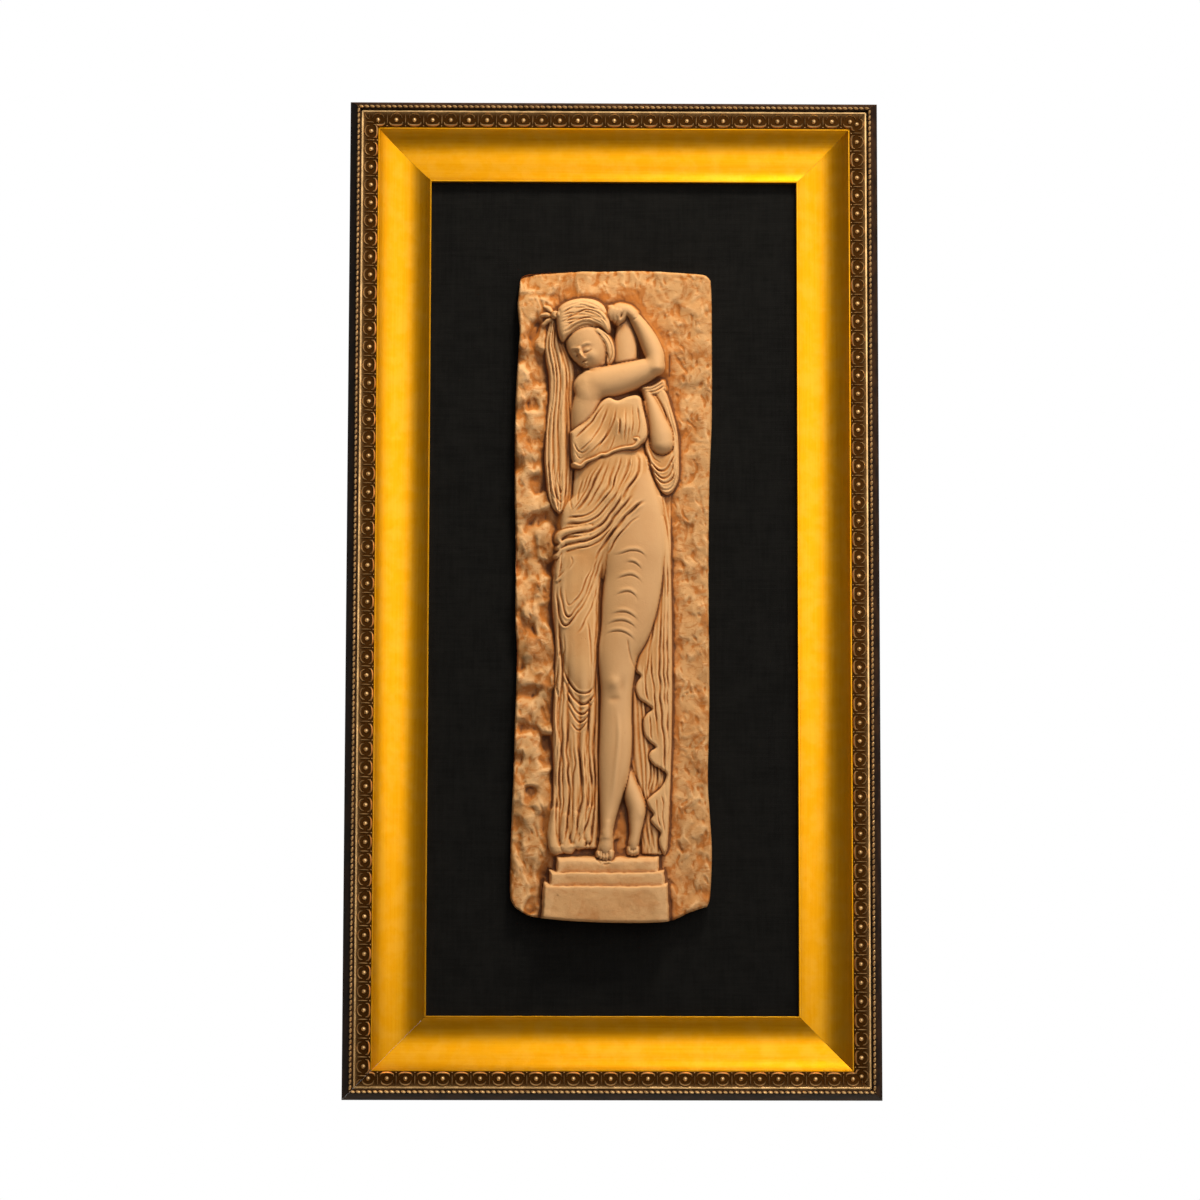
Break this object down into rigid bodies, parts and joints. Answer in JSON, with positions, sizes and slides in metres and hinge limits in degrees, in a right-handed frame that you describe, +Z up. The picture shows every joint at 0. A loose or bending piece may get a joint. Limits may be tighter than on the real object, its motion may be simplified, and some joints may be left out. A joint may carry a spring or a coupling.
{
  "type": "framed bas-relief",
  "caption": "Tall cast plaque with a draped standing figure in low relief, mounted on a dark cloth-faced panel in a wide gilt moulding frame.",
  "frame": {"origin": "middle of the flat back face of the top rail, where the frame bears on the wall", "axes": "+Z up along the frame's height, +Y out of the back towards the wall, the relief faces -Y, +X to the viewer's right"},
  "size_m": [0.516, 0.0428, 0.968],
  "materials": {
    "gilt_frame": "wood and composition moulding, brushed gold leaf on the hollow, dark aged gilding on the ornament",
    "black_cloth": "board faced with matt black woven cloth",
    "cast_clay": "warm terracotta cast with brown stain in the hollows and rubbed pale high spots"
  },
  "bodies": {
    "root": {"frame_top": "gilt_frame", "frame_bottom": "gilt_frame", "frame_left": "gilt_frame", "frame_right": "gilt_frame", "backing_panel": "black_cloth", "relief_plaque": "cast_clay"}
  },
  "joints": []
}
